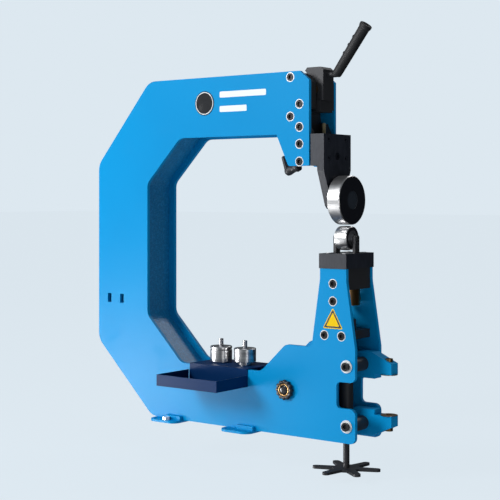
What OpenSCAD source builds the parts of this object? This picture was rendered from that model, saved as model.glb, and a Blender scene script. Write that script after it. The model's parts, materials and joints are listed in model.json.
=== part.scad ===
// English wheel (sheet-metal wheeling machine): a C-frame of two side plates with a
// large upper wheel on a cam-lifted ram and a small lower wheel on a screw-lifted ram.
// X runs from the back column to the mouth, Y across the two plates, Z up.

/* [Frame] */
// Height of the side plates
frame_h = 750; // [740:1:780]
// Width over the two side plates
frame_w = 100; // [98:1:104]
// Thickness of one side plate
plate_t = 8; // [7:0.5:9]
// Width of the back column
column_w = 151; // [145:1:156]
// Depth of the throat, from the column to the wheels' middle
throat_depth = 500; // [490:1:520]
// Height of the upper arm's underside
upper_arm_z = 620.5; // [618:0.5:624]
// Height of the upper jaw's bottom edge
jaw_z = 555; // [552:0.5:558]
// Height of the lower arm's top edge
lower_arm_z = 126; // [120:1:130]
// Height of the tower's top edge
tower_z = 347.5; // [346:0.5:350]
// How far the liner sheets are set back from the plates' edges
sheet_setback = 15; // [12:1:18]
// Thickness of the liner sheets
sheet_t = 3; // [2:0.5:4]

/* [Wheels] */
// Diameter of the upper wheel
upper_wheel_d = 100; // [96:1:102]
// Diameter of the lower wheel
lower_wheel_d = 50; // [46:1:52]
// Width of both wheels
wheel_w = 30; // [28:1:31]
// Gap between the wheels at rest
wheel_gap = 2.4; // [2.1:0.1:4]
// Height of the lower wheel's axis
lower_axis_z = 407.5; // [406:0.5:409]

/* [Cam lever] */
// Ram lift per radian of lever swing, the involute's base radius
cam_rate = 6.1; // [5:0.1:6.2]
// Swing of the lever from shut to open, degrees
cam_swing = 75; // [60:1:75]
// Lever's tilt from the vertical, degrees
lever_tilt = 36.6; // [34:0.1:38]

/* [Screw ram] */
// Diameter of the spindle
spindle_d = 13; // [12:0.5:13.5]
// Radius of the star wheel
star_r = 70; // [60:1:75]

/* [Feet] */
// Distance between the rear and front bolt holes
foot_pitch_x = 200; // [190:1:210]
// Distance between the left and right bolt holes
foot_pitch_y = 128; // [126:1:132]
// Thickness of a foot
foot_t = 5; // [4:0.5:6]

/* [Hidden] */
$fn = 64;
cut = 1;                                   // how far a cutter runs past a face
run_gap = 0.05;                            // radial clearance of a running fit
slide_gap = 0.3;                           // clearance of a flat sliding face

half_w = frame_w / 2;
inner_w = half_w - plate_t;
wheel_x = column_w + throat_depth;
jaw_x = wheel_x - 58;
foot_rear_x = 192;
foot_front_x = foot_rear_x + foot_pitch_x;
origin_x = (foot_rear_x + foot_front_x) / 2;
upper_axis_z = lower_axis_z + lower_wheel_d / 2 + wheel_gap + upper_wheel_d / 2;

// Frame outline, corner by corner: [x, z, corner radius]
throat_corners = [
    [jaw_x - 52, jaw_z, 6], [jaw_x - 82, upper_arm_z, 4],
    [column_w + 96, upper_arm_z, 25], [column_w, upper_arm_z - 98.5, 25],
    [column_w, lower_arm_z + 100, 25], [column_w + 100, lower_arm_z, 25],
    [wheel_x - 181, lower_arm_z, 30]];
shoulder_z = 187;
tower_back = [
    [wheel_x - 117, shoulder_z, 18], [wheel_x - 51.7, shoulder_z, 12],
    [wheel_x - 31, 326, 15], [wheel_x - 31, tower_z, 0]];
notch_z = [69, 121.6];
front_x = wheel_x + 53;
front_corners = [
    [wheel_x + 32, tower_z, 0], [wheel_x + 32.2, 322, 15], [front_x, 188, 15],
    [front_x, notch_z[1], 13], [wheel_x + 8.6, notch_z[1], 9], [wheel_x + 8.6, notch_z[0], 9],
    [front_x, notch_z[0], 13], [front_x, 0, 12]];
back_corners = [[165.6, 0, 38], [0, 162, 38], [0, 566, 38], [157, frame_h, 38]];
nose_corners = [[jaw_x - 23, frame_h, 3], [jaw_x, frame_h - 19.5, 3], [jaw_x, jaw_z, 3]];
frame_corners = concat(throat_corners, tower_back, front_corners, back_corners, nose_corners);

// Fasteners through the side plates: [x, z]
jaw_screws_at = [for (p = [[-47, 738], [-24, 682], [-47, 657], [-24, 635], [-24, 600], [-24, 564]])
    [jaw_x + p[0], p[1]]];
guide_screws_at = [[wheel_x, 317], [wheel_x, 282]];
nut_screws_at = [[wheel_x - 20.5, 213], [wheel_x + 20.5, 213]];
arm_bolts_at = [[wheel_x + 33, 153.5], [wheel_x + 33, 34]];
screw_r = 5;
screw_head_r = 8;
seat_r = 10;
seat_depth = 5;
washer_t = 1;
arm_washer_t = 2;

// Cam lever
cam_x = jaw_x - 11;
cam_z = 713;
cam_pin_r = 6;
cam_h = 22.7;                              // from the pin to the cam's low face, shut
hub_half_w = 19.5;
ram_top_z = cam_z - cam_h - slide_gap;
lever_bend = [jaw_x + 34.4, 742.8];        // where the lever turns from level to its tilt
grip_from = -14.5;
grip_to = 112;
lever_end = 117;

// Upper ram and its guide
bar_x = [jaw_x - 41, jaw_x - 25];
bar_half_w = 22.5;
tongue_half_w = 15;
slide_bottom = jaw_z + 2;
block_x = [jaw_x + 4, jaw_x + 20];
bracket_x = [jaw_x + 20, jaw_x + 36.5];
block_top = 620;
upper_axle_r = 10;
wheel_back = wheel_x - wheel_w / 2;
wheel_front = wheel_x + wheel_w / 2;
spring_seat_z = 640;
spring_top_z = 672;
spring_x = jaw_x - 60;
spring_half_gap = 11;

// Lower ram, fork and spindle
cap_h = 30;
cap_seat = 2;
fork_half = 20;                            // half the gap between the fork legs
leg_t = 6.4;
leg_half_w = 8;
opening_half_x = fork_half + leg_t + slide_gap;
opening_half_y = 18.4;
guide_z = [305, tower_z];
pocket_z = 325;
bush_z = 272;
bush_r = 28;
ram_r = 15;
ram_z = [278, 348];
ram_head_z = 377;
leg_z = [350, 413];
lower_axle_r = 6;
axle_flat = 5;
ball_r = 6;
spindle_r = spindle_d / 2;
thread_r = 7;
nut_block_z = [204.5, 221.5];
nut_top_z = 242;
spindle_bottom = -69;
star_z = [-64.8, -59.6];

// Hinge arms
arm_y = [10, 36];
arm_mid_z = (arm_bolts_at[0][1] + arm_bolts_at[1][1]) / 2;
arm_pin = [wheel_x + 87, 23];
arm_bore_r = 6;
arm_bush_r = 8;

// Tool tray and spare rollers
tray_x = [272.5, 436];
tray_t = 2;
tray_y = -155.5;
tray_z = [90.3, 114];
spare_x = [324, 390];
spare_r = 24;
spare_h = 36;
spare_axle_r = 5;

azure = [0.05, 0.50, 0.80];
navy = [0.10, 0.14, 0.33];
black = [0.10, 0.10, 0.11];
steel = [0.72, 0.72, 0.74];
dark_steel = [0.35, 0.36, 0.38];
bronze = [0.72, 0.52, 0.30];

// ---- outlines -------------------------------------------------------------------

function unit(v) = v / norm(v);
function flat2(p) = [p[0], p[1]];
function turned(v, a) = [v[0] * cos(a) - v[1] * sin(a), v[0] * sin(a) + v[1] * cos(a)];
function turn_sign(u, v) = sign(u[1] * v[0] - u[0] * v[1]);

// One corner p between a and b, as an arc of radius p[2]
function corner(a, p, b) =
    p[2] == 0 ? [flat2(p)] :
    let (u = unit(flat2(a) - flat2(p)),
         v = unit(flat2(b) - flat2(p)),
         inside = acos(u * v),
         sweep = 180 - inside,
         centre = flat2(p) + unit(u + v) * p[2] / sin(inside / 2),
         start = flat2(p) + u * p[2] / tan(inside / 2) - centre,
         steps = max(2, ceil(sweep / 9)))
    [for (i = [0:steps]) centre + turned(start, turn_sign(u, v) * sweep * i / steps)];

function rounded(points) =
    let (n = len(points))
    [for (i = [0:n - 1]) each corner(points[(i + n - 1) % n], points[i], points[(i + 1) % n])];

// An open path with its inner corners rounded
function rounded_path(points) =
    let (n = len(points))
    concat([flat2(points[0])],
        [for (i = [1:n - 2]) each corner(points[i - 1], points[i], points[i + 1])],
        [flat2(points[n - 1])]);

// A path moved sideways by d, to the left of its direction, keeping its corners concentric
function shifted(points, d) =
    let (n = len(points))
    [for (i = [0:n - 1])
        let (p = flat2(points[i]),
             before = unit(i > 0 ? p - flat2(points[i - 1]) : flat2(points[1]) - p),
             after = unit(i < n - 1 ? flat2(points[i + 1]) - p : before),
             n1 = turned(before, 90),
             n2 = turned(after, 90),
             side = sign(before[0] * after[1] - before[1] * after[0]),
             moved = p + (n1 + n2) / (1 + n1 * n2) * d)
        [moved[0], moved[1], points[i][2] == 0 ? 0 : max(1, points[i][2] - side * d)]];

function reversed(points) = [for (i = [len(points) - 1:-1:0]) points[i]];

// The outline of a folded sheet that lies between d1 and d2 beside a path
function sheet_outline(points, d1, d2) =
    concat(rounded_path(shifted(points, d1)), reversed(rounded_path(shifted(points, d2))));

// Involute cam: a flat follower rises by cam_rate for each radian
function cam_point(a) =
    let (h = cam_h + cam_rate * (a + 90) * PI / 180)
    [cam_x + h * cos(a) - cam_rate * sin(a), cam_z + h * sin(a) + cam_rate * cos(a)];

// ---- placing --------------------------------------------------------------------

module place() translate([-origin_x, 0, foot_t]) children();

// A profile drawn in X and Z, running across from y0 to y1
module across(y0, y1)
    translate([0, y1, 0]) rotate([90, 0, 0]) linear_extrude(height = y1 - y0) children();

// A profile drawn in Y and Z, running along from x0 to x1
module along(x0, x1)
    translate([x0, 0, 0]) rotate([90, 0, 90]) linear_extrude(height = x1 - x0) children();

// Local Z turned to point along +X
module axis_x() rotate([0, 90, 0]) children();

module box(x, y, z) translate([x[0], y[0], z[0]]) cube([x[1] - x[0], y[1] - y[0], z[1] - z[0]]);

// A child and its mirror image in the frame's middle plane
module both_sides() {
    children();
    mirror([0, 1, 0]) children();
}

// Stands a child, drawn pointing up, out of the right-hand plate at [x, z] and depth y
module out_of_plate(p, y) translate([p[0], -y, p[1]]) rotate([90, 0, 0]) children();

module ring(outer_r, inner_r, h) difference() {
    cylinder(r = outer_r, h = h);
    translate([0, 0, -cut]) cylinder(r = inner_r, h = h + 2 * cut);
}

// A screw whose head stands on z = 0 and whose shank hangs below
module socket_screw(head_r, head_h, shank_r, shank_l) difference() {
    union() {
        cylinder(r = head_r, h = head_h);
        translate([0, 0, -shank_l]) cylinder(r = shank_r, h = shank_l);
    }
    translate([0, 0, head_h * 0.35]) cylinder(r = head_r * 0.55, h = head_h, $fn = 6);
}

// ---- C-frame --------------------------------------------------------------------

module screw_hole(p, y, r = screw_r) out_of_plate(p, y) translate([0, 0, -60]) cylinder(r = r, h = 70);

module side_plate() difference() {
    across(-half_w, -inner_w) polygon(rounded(frame_corners));
    for (x = [28.3, 67])
        box([x, x + 11], [-half_w - cut, -inner_w + cut], [248.5, 269]);
    for (p = concat(jaw_screws_at, guide_screws_at, nut_screws_at)) {
        out_of_plate(p, half_w - seat_depth) cylinder(r = seat_r, h = seat_depth + cut);
        out_of_plate(p, inner_w - cut) cylinder(r = screw_r, h = plate_t + 2 * cut);
    }
    for (p = arm_bolts_at)
        out_of_plate(p, inner_w - cut) cylinder(r = screw_r, h = plate_t + 2 * cut);
}

knob_at = [wheel_x - 116, 93.6];
knob_stud_r = 5;

module right_side_plate() color(azure) difference() {
    side_plate();
    out_of_plate(knob_at, inner_w - cut) cylinder(r = knob_stud_r + run_gap, h = plate_t + 2 * cut);
}

module left_side_plate() color(azure) mirror([0, 1, 0]) side_plate();

liner_path = [for (i = [1:5]) throat_corners[i]];

module throat_liner() color(navy) across(-inner_w, inner_w)
    polygon(sheet_outline(concat(liner_path, [[wheel_x - 191, lower_arm_z, 0]]),
        -sheet_setback, -sheet_setback - sheet_t));

module shoulder_web() color(navy) across(-inner_w, inner_w)
    polygon(sheet_outline([[wheel_x - 189, lower_arm_z, 0], throat_corners[6], tower_back[0],
        tower_back[1], [wheel_x - 40.6, 262, 0]], -10, -10 - sheet_t));

module outer_skin() color(azure) across(-inner_w, inner_w)
    polygon(sheet_outline([[jaw_x - 83, frame_h, 0], back_corners[3], back_corners[2],
        back_corners[1], back_corners[0], [wheel_x - 26, 0, 0]],
        sheet_setback, sheet_setback + sheet_t));

// A foot: a plate with round ends under both side plates, and a cleat beside each one
foot_len = 78;
foot_lead = 14;                            // from the bolt hole to the foot's back end
cleat_from = 20;
level_x = 31;
level_r = 5;

module foot(hole_x, levelled) color(azure) difference() {
    union() {
        translate([hole_x - foot_lead + 19, 0, -foot_t]) for (x = [0, foot_len - 38])
            translate([x, 0, 0]) both_sides() translate([0, -60, 0]) cylinder(r = 19, h = foot_t);
        box([hole_x - foot_lead, hole_x - foot_lead + foot_len], [-60, 60], [-foot_t, 0]);
        box([hole_x - foot_lead + 19, hole_x - foot_lead + foot_len - 19], [-79, 79], [-foot_t, 0]);
        both_sides() box([hole_x + cleat_from, hole_x + 63], [-half_w - 9, -half_w], [-foot_t, 9]);
    }
    both_sides() translate([hole_x, -foot_pitch_y / 2, -foot_t - cut])
        cylinder(r = 5.5, h = foot_t + 2 * cut);
    if (levelled) both_sides() translate([hole_x + level_x, -half_w - 18, -foot_t - cut])
        cylinder(r = level_r, h = foot_t + 2 * cut);
}

module rear_foot() foot(foot_rear_x, true);
module front_foot() foot(foot_front_x, false);

module levelling_screws() color(steel) both_sides()
    translate([foot_rear_x + level_x, -half_w - 18, 0]) {
        cylinder(r = 8.5, h = 6.4, $fn = 6);
        translate([0, 0, -foot_t]) cylinder(r = level_r, h = foot_t);
    }

// ---- screws through the plates --------------------------------------------------

module plate_screw(p, shank_end) out_of_plate(p, half_w - seat_depth + washer_t)
    socket_screw(screw_head_r, 5.2, screw_r, half_w - seat_depth + washer_t - shank_end);

module jaw_screws() color(black) both_sides()
    for (p = jaw_screws_at) plate_screw(p, 28);

module tower_screws() color(black) both_sides() {
    plate_screw(guide_screws_at[0], 28);
    plate_screw(guide_screws_at[1], 24);
    for (p = nut_screws_at) plate_screw(p, 28);
}

// A washer with a wall round the screw's head, flush with the plate
module cup_washer() difference() {
    cylinder(r = seat_r, h = seat_depth + 0.3);
    translate([0, 0, -cut]) cylinder(r = screw_r, h = seat_depth);
    translate([0, 0, washer_t]) cylinder(r = screw_head_r + slide_gap, h = seat_depth);
}

module screw_washers() color(steel) {
    both_sides() for (p = concat(jaw_screws_at, guide_screws_at, nut_screws_at))
        out_of_plate(p, half_w - seat_depth) cup_washer();
    both_sides() for (p = arm_bolts_at)
        out_of_plate(p, half_w) ring(13, screw_r, arm_washer_t);
}

module jaw_screw_holes() both_sides() for (p = jaw_screws_at) out_of_plate(p, 28)
    cylinder(r = screw_r, h = 40);

// ---- lower jaw ------------------------------------------------------------------

module ram_opening(z0, z1)
    box([wheel_x - opening_half_x, wheel_x + opening_half_x], [-opening_half_y, opening_half_y], [z0, z1]);

cap_screws_at = [for (x = [-19, 19]) for (y = [-36, 36]) [wheel_x + x, y]];

module tower_cap() color(black) difference() {
    box([wheel_x - 32.2, wheel_x + 33.2], [-half_w - 2, half_w + 2], [tower_z, tower_z + cap_h]);
    ram_opening(tower_z - cut, tower_z + cap_h + cut);
    for (p = cap_screws_at) translate([p[0], p[1], tower_z]) {
        translate([0, 0, -cut]) cylinder(r = 3, h = cap_h);
        translate([0, 0, cap_h - cap_seat]) cylinder(r = 5.6, h = cap_seat + cut);
    }
}

module cap_screws() color(steel) for (p = cap_screws_at)
    translate([p[0], p[1], tower_z + cap_h - cap_seat]) socket_screw(5.2, 3.2, 3, cap_h - cap_seat + 12);

module ram_guide_block() color(black) difference() {
    box([wheel_x - 30.5, wheel_x + 30.5], [-inner_w, inner_w], guide_z);
    ram_opening(pocket_z, tower_z + cut);
    translate([wheel_x, 0, guide_z[0] - cut]) cylinder(r = 20, h = pocket_z - guide_z[0] + 2 * cut);
    both_sides() out_of_plate(guide_screws_at[0], 28) cylinder(r = screw_r, h = 20);
    for (p = cap_screws_at) translate([p[0], p[1], tower_z - 12]) cylinder(r = 3, h = 12 + cut);
}

module ram_bush() color(bronze) difference() {
    union() {
        translate([wheel_x, 0, bush_z]) cylinder(r = 20, h = pocket_z - bush_z);
        translate([wheel_x, 0, bush_z]) cylinder(r = bush_r, h = guide_z[0] - bush_z);
        both_sides() out_of_plate(guide_screws_at[1], 20) cylinder(r = 8.5, h = inner_w - 20);
    }
    translate([wheel_x, 0, bush_z - cut]) cylinder(r = ram_r + run_gap, h = 80);
    both_sides() out_of_plate(guide_screws_at[1], 24) cylinder(r = screw_r, h = 20);
}

module nut_block() color(black) difference() {
    union() {
        box([wheel_x - 30, wheel_x + 30], [-inner_w, inner_w], nut_block_z);
        translate([wheel_x, 0, nut_block_z[0]]) cylinder(r = 20, h = nut_top_z - nut_block_z[0]);
    }
    translate([wheel_x, 0, nut_block_z[0] - cut]) cylinder(r = 12, h = 60);
    both_sides() for (p = nut_screws_at) out_of_plate(p, 28) cylinder(r = screw_r, h = 20);
}

module spindle_nut() color(bronze) translate([wheel_x, 0, 0]) difference() {
    union() {
        translate([0, 0, nut_block_z[0]]) cylinder(r = 12, h = nut_top_z - nut_block_z[0]);
        translate([0, 0, nut_block_z[0] - 5]) cylinder(r = 18, h = 5);
    }
    translate([0, 0, nut_block_z[0] - 5 - cut]) cylinder(r = thread_r + run_gap, h = 60);
}

module spindle_tube() color(black) translate([wheel_x, 0, 8])
    ring(14, 11, nut_block_z[0] - 5 - 8);

// ---- hinge arms on the front edge -----------------------------------------------

module arm_profile() polygon([[wheel_x + 11, 125], [wheel_x + 61, 125], [wheel_x + 61, 135],
    [wheel_x + 100, 135], [wheel_x + 100, 157], [wheel_x + 54.5, 178], [wheel_x + 11, 178]]);

// A child drawn at the upper arm, and its mirror image at the lower one
module both_arms() {
    children();
    translate([0, 0, 2 * arm_mid_z]) mirror([0, 0, 1]) children();
}

module hinge_arms() color(azure) both_arms() difference() {
    across(arm_y[0], arm_y[1]) arm_profile();
    translate([arm_pin[0], arm_pin[1], 120]) cylinder(r = arm_bush_r, h = 60);
    mirror([0, 1, 0]) out_of_plate(arm_bolts_at[0], arm_y[0] - cut) cylinder(r = screw_r, h = 30);
}

module arm_bushes() color(bronze) both_arms() translate([arm_pin[0], arm_pin[1], 0]) difference() {
    union() {
        translate([0, 0, 134]) cylinder(r = arm_bush_r, h = 32.5);
        translate([0, 0, 134]) cylinder(r = 17.5, h = 1);
    }
    translate([0, 0, 134 - cut]) cylinder(r = arm_bore_r, h = 40);
}

module arm_spacers() color(black) both_arms() {
    mirror([0, 1, 0]) out_of_plate(arm_bolts_at[0], arm_y[1]) ring(14, screw_r, inner_w - arm_y[1]);
    mirror([0, 1, 0]) out_of_plate(arm_bolts_at[0], -inner_w) ring(14, screw_r, inner_w + arm_y[0]);
}

module arm_bolts() color(black) for (p = arm_bolts_at) {
    out_of_plate(p, half_w + arm_washer_t)
        socket_screw(8.7, 5, screw_r, frame_w + 2 * arm_washer_t + 9);
    translate([p[0], half_w + arm_washer_t, p[1]]) rotate([-90, 0, 0]) difference() {
        cylinder(r = 9.2, h = 8, $fn = 6);
        translate([0, 0, -cut]) cylinder(r = screw_r, h = 10);
    }
}

// ---- upper jaw: guide and cam bearings ------------------------------------------

module cam_bearing_blocks() color(black) difference() {
    both_sides() across(-inner_w, -24) polygon([[jaw_x - 59, 672], [jaw_x, 672], [jaw_x, 727],
        [jaw_x - 21, 746], [jaw_x - 59, 746]]);
    jaw_screw_holes();
    translate([cam_x, -half_w, cam_z]) rotate([-90, 0, 0]) cylinder(r = cam_pin_r, h = frame_w);
}

module cam_pin() color(steel) translate([cam_x, -inner_w, cam_z]) rotate([-90, 0, 0])
    cylinder(r = cam_pin_r, h = 2 * inner_w);

module cam_thrust_washers() color(bronze) both_sides()
    translate([cam_x, -24, cam_z]) rotate([-90, 0, 0]) ring(12, cam_pin_r, 24 - hub_half_w - slide_gap);

// Slope of the guide's back, parallel to the jaw's slope
guide_back_edge = [[jaw_x - 79, 628], [jaw_x - 46, slide_bottom]];

// The clamp lever's stud is square to that slope
clamp_at = [jaw_x - 49, 563];
clamp_tilt = 180 + 24.9;                   // direction of the stud's outer end, degrees from +X

module on_clamp() translate([clamp_at[0], 0, clamp_at[1]]) rotate([0, 90 - clamp_tilt, 0]) children();

module guide_back_block() color(black) difference() {
    across(-bar_half_w - 0.5, bar_half_w + 0.5)
        polygon(concat([[bar_x[0] - slide_gap, slide_bottom], [bar_x[0] - slide_gap, spring_seat_z],
            [jaw_x - 79, spring_seat_z]], guide_back_edge));
    on_clamp() translate([0, 0, -30]) cylinder(r = 4 + run_gap, h = 40);
}

module guide_rails() color(black) difference() {
    both_sides() {
        across(-inner_w, -bar_half_w - 0.5)
            polygon(concat([[jaw_x - 5, slide_bottom], [jaw_x - 5, 622], [jaw_x - 15, 644],
                [jaw_x - 31, 644], [jaw_x - 35, 668], [jaw_x - 79, 668]], guide_back_edge));
        box([bar_x[1] + slide_gap, jaw_x - 5], [-bar_half_w - 0.5 - cut, -tongue_half_w - slide_gap],
            [slide_bottom, block_top]);
    }
    jaw_screw_holes();
}

// A coil spring: a round wire swept round a helix
spring_turns = 5;
wire_r = 1;
coil_r = 6;
coil_steps = 60;

function wire_ring(i) =
    let (turn = i / coil_steps,
         a = 360 * spring_turns * turn,
         z = spring_seat_z + wire_r + turn * (spring_top_z - spring_seat_z - 2 * wire_r))
    [for (k = [0:5]) [(coil_r + wire_r * cos(60 * k)) * cos(a), (coil_r + wire_r * cos(60 * k)) * sin(a),
        z + wire_r * sin(60 * k)]];

module coil_spring() polyhedron(
    points = [for (i = [0:coil_steps]) each wire_ring(i)],
    faces = concat([[5, 4, 3, 2, 1, 0]],
        [for (i = [0:coil_steps - 1]) for (k = [0:5])
            [6 * i + k, 6 * i + (k + 1) % 6, 6 * i + 6 + (k + 1) % 6, 6 * i + 6 + k]],
        [[for (k = [0:5]) 6 * coil_steps + k]]));

module return_springs() color(steel) for (y = [-spring_half_gap, spring_half_gap])
    translate([spring_x, y, 0]) coil_spring();

// ---- cam lever ------------------------------------------------------------------

module on_lever() translate([lever_bend[0], 0, lever_bend[1]]) rotate([0, lever_tilt, 0]) children();

rod_r = 6;
socket_x = jaw_x;                          // the lever's level end, inside the hub
grip_r = [9.8, 11.4];                      // at the hub end and under the flange

module cam_lever_hub() color(black) difference() {
    across(-hub_half_w, hub_half_w) polygon(concat(
        [[jaw_x + 14, cam_z - cam_h]],
        [for (a = [-90:-5:-90 - cam_swing]) cam_point(a)],
        [[cam_x - 15.1, cam_z], [cam_x - 14, cam_z + 9], [cam_x - 6, cam_z + 21],
            [cam_x - 20, cam_z + 40], [cam_x - 15, cam_z + 46], [jaw_x + 7, cam_z + 46],
            [jaw_x + 14, cam_z + 40]]));
    translate([cam_x, -half_w, cam_z]) rotate([-90, 0, 0])
        cylinder(r = cam_pin_r + run_gap, h = frame_w);
    translate([socket_x, 0, lever_bend[1]]) axis_x() cylinder(r = rod_r, h = 30);
}

module lever_bar(r) {
    translate([socket_x, 0, lever_bend[1]]) axis_x() cylinder(r = r, h = lever_bend[0] - socket_x);
    translate([lever_bend[0], 0, lever_bend[1]]) sphere(r = r);
    on_lever() cylinder(r = r, h = grip_to);
}

module lever_rod() color(dark_steel) lever_bar(rod_r);

module lever_grip() color(black) difference() {
    on_lever() {
        translate([0, 0, grip_from]) cylinder(r1 = grip_r[0], r2 = grip_r[1], h = lever_end - grip_from);
        translate([0, 0, grip_to - 4]) cylinder(r = 13.5, h = lever_end - grip_to + 4);
    }
    lever_bar(rod_r);
    on_lever() cylinder(r = rod_r, h = lever_end + cut);
    translate([jaw_x + 24.2, 0, 730.6]) rotate([0, -17, 0])
        translate([-60, -30, -60]) cube([140, 60, 60]);
}

module grip_end_plug() color(bronze) on_lever()
    translate([0, 0, grip_to]) cylinder(r = rod_r, h = lever_end - grip_to);

// ---- upper ram ------------------------------------------------------------------

ram_bolt_z = 575;

module upper_ram() color(black) difference() {
    union() {
        box(bar_x, [-bar_half_w, bar_half_w], [slide_bottom, ram_top_z]);
        box([jaw_x - 69, bar_x[0] + cut], [-bar_half_w, bar_half_w], [spring_top_z, ram_top_z]);
        box([bar_x[1] - cut, jaw_x + 9], [-bar_half_w, bar_half_w], [666, ram_top_z]);
    }
    translate([bar_x[1] - 12, 0, ram_bolt_z]) axis_x() cylinder(r = screw_r, h = 20);
}

stud_at_x = jaw_x + 3;
stud_r = 4;

module slide_block() color(black) difference() {
    union() {
        box([bar_x[1], block_x[0] + cut], [-tongue_half_w, tongue_half_w], [slide_bottom, block_top]);
        box(block_x, [-half_w, half_w], [jaw_z, block_top]);
    }
    translate([stud_at_x, 0, block_top - 25]) cylinder(r = stud_r, h = 30);
    translate([bar_x[1] - cut, 0, ram_bolt_z]) axis_x() cylinder(r = screw_r, h = 60);
    for (p = bracket_screws_at) translate([block_x[0] + 2, p[0], p[1]]) axis_x() cylinder(r = 4, h = 20);
}

bracket_screws_at = [for (y = [-31, 31]) for (z = [571, 609]) [y, z]];
bracket_seat = 6;

module wheel_bracket() color(black) difference() {
    along(bracket_x[0], bracket_x[1]) polygon([[-half_w, block_top], [half_w, block_top],
        [half_w, 546], [22, 474], [15, 467], [-15, 467], [-22, 474], [-half_w, 546]]);
    translate([bracket_x[0] - cut, 0, upper_axis_z]) axis_x() cylinder(r = upper_axle_r, h = 30);
    for (p = bracket_screws_at) translate([0, p[0], p[1]]) {
        translate([bracket_x[0] - cut, 0, 0]) axis_x() cylinder(r = 4, h = 30);
        translate([bracket_x[1] - bracket_seat, 0, 0]) axis_x() cylinder(r = 6.7, h = 30);
    }
    translate([bracket_x[0] - cut, 0, ram_bolt_z]) axis_x() cylinder(r = 8.2, h = 30);
}

module bracket_screws() color(black) for (p = bracket_screws_at)
    translate([bracket_x[1] - bracket_seat, p[0], p[1]]) axis_x() socket_screw(6.5, 5.4, 4, 22);

module ram_bolt() color(black) translate([block_x[1], 0, ram_bolt_z]) axis_x()
    socket_screw(8, 10, screw_r, block_x[1] - bar_x[1] + 10);

module height_stud() color(bronze) translate([stud_at_x, 0, block_top - 25])
    cylinder(r = stud_r, h = 49);

module upper_axle() color(steel) translate([0, 0, upper_axis_z]) {
    translate([bracket_x[0], 0, 0]) axis_x() cylinder(r = upper_axle_r, h = wheel_front - 6 - bracket_x[0]);
    translate([bracket_x[1], 0, 0]) axis_x()
        ring(14, upper_axle_r - cut, wheel_back - bracket_x[1] - slide_gap);
}

// ---- wheels and bearings --------------------------------------------------------

// A wheel of width w about local Z: flat rim if crown is 0, else an arc of that radius
module wheel(r, w, bore, crown, edge) rotate_extrude($fn = 128) polygon(concat(
    [[bore, 0], [r - edge - drop(crown, w), 0]],
    crown == 0 ? [[r, edge], [r, w - edge]] :
        [for (i = [-6:6]) let (t = i / 6 * (w / 2 - edge)) [r - drop(crown, 2 * t), w / 2 + t]],
    [[r - edge - drop(crown, w), w], [bore, w]]));

function drop(crown, w) = crown == 0 ? 0 : crown - sqrt(crown * crown - w * w / 4);

upper_bearing_r = 18.5;
lower_bearing_r = 16;

module upper_wheel() color(steel) translate([wheel_back, 0, upper_axis_z]) axis_x()
    wheel(upper_wheel_d / 2, wheel_w, upper_bearing_r, 0, 1.5);

module upper_wheel_bearings() color(dark_steel) translate([wheel_back, 0, upper_axis_z]) axis_x()
    for (x = [2, wheel_w - 15]) translate([0, 0, x]) ring(upper_bearing_r, upper_axle_r + run_gap, 9);

module upper_hub_cap() color(black) translate([wheel_front - 4, 0, upper_axis_z]) axis_x()
    cylinder(r = upper_bearing_r, h = 3.6);

module lower_wheel() color(steel) translate([wheel_back, 0, lower_axis_z]) axis_x()
    wheel(lower_wheel_d / 2, wheel_w, lower_bearing_r, 120, 1.2);

module lower_wheel_bearings() color(dark_steel) translate([wheel_back, 0, lower_axis_z]) axis_x()
    for (x = [0.8, wheel_w - 10.8]) translate([0, 0, x]) ring(lower_bearing_r, lower_axle_r + run_gap, 10);

// ---- lower ram ------------------------------------------------------------------

fork_screws_at = [for (z = [357, 370]) z];

module lower_ram() color(steel) translate([wheel_x, 0, 0]) difference() {
    union() {
        translate([0, 0, ram_z[0]]) cylinder(r = ram_r, h = ram_z[1] - ram_z[0] + cut);
        box([-fork_half, fork_half], [-18, 18], [ram_z[1], ram_head_z]);
    }
    translate([0, 0, ram_z[0] - cut]) cylinder(r = spindle_r + run_gap, h = 31);
    for (z = fork_screws_at) translate([-fork_half - cut, 0, z]) axis_x() cylinder(r = 2.5, h = 60);
}

module fork_legs() color(black) for (side = [-1, 1]) difference() {
    along(wheel_x + side * (fork_half + leg_t / 2) - leg_t / 2,
        wheel_x + side * (fork_half + leg_t / 2) + leg_t / 2)
        polygon([[-leg_half_w, leg_z[0]], [leg_half_w, leg_z[0]], [leg_half_w, leg_z[1] - 3],
            [leg_half_w - 2, leg_z[1]], [2 - leg_half_w, leg_z[1]], [-leg_half_w, leg_z[1] - 3]]);
    box([wheel_x - 40, wheel_x + 40], [-axle_flat, axle_flat], [lower_axis_z - lower_axle_r, leg_z[1] + cut]);
    for (z = fork_screws_at) translate([wheel_x - 40, 0, z]) axis_x() cylinder(r = 2.5, h = 80);
    for (z = fork_screws_at) translate([wheel_x + side * (fork_half + leg_t + 2), 0, z]) axis_x()
        cylinder(r = 4.5, h = 10, center = true);
}

module fork_screws() color(steel) for (side = [-1, 1]) for (z = fork_screws_at)
    translate([wheel_x + side * (fork_half + leg_t - 3), 0, z]) rotate([0, side * 90, 0])
        socket_screw(4.2, 2.8, 2.5, 12);

module lower_axle() color(steel) translate([wheel_x, 0, lower_axis_z]) {
    intersection() {
        translate([-27.5, 0, 0]) axis_x() cylinder(r = lower_axle_r, h = 55);
        union() {
            box([-28, 28], [-axle_flat, axle_flat], [-10, 10]);
            box([-fork_half, fork_half], [-10, 10], [-10, 10]);
        }
    }
    for (side = [-1, 1]) translate([side * (fork_half - 2.3), 0, 0]) axis_x()
        translate([0, 0, -2.3]) ring(8.5, lower_axle_r - cut, 4.6);
}

module thrust_ball() color(steel) translate([wheel_x, 0, ram_z[0] + 24]) sphere(r = ball_r);

// ---- spindle and star wheel -----------------------------------------------------

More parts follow.
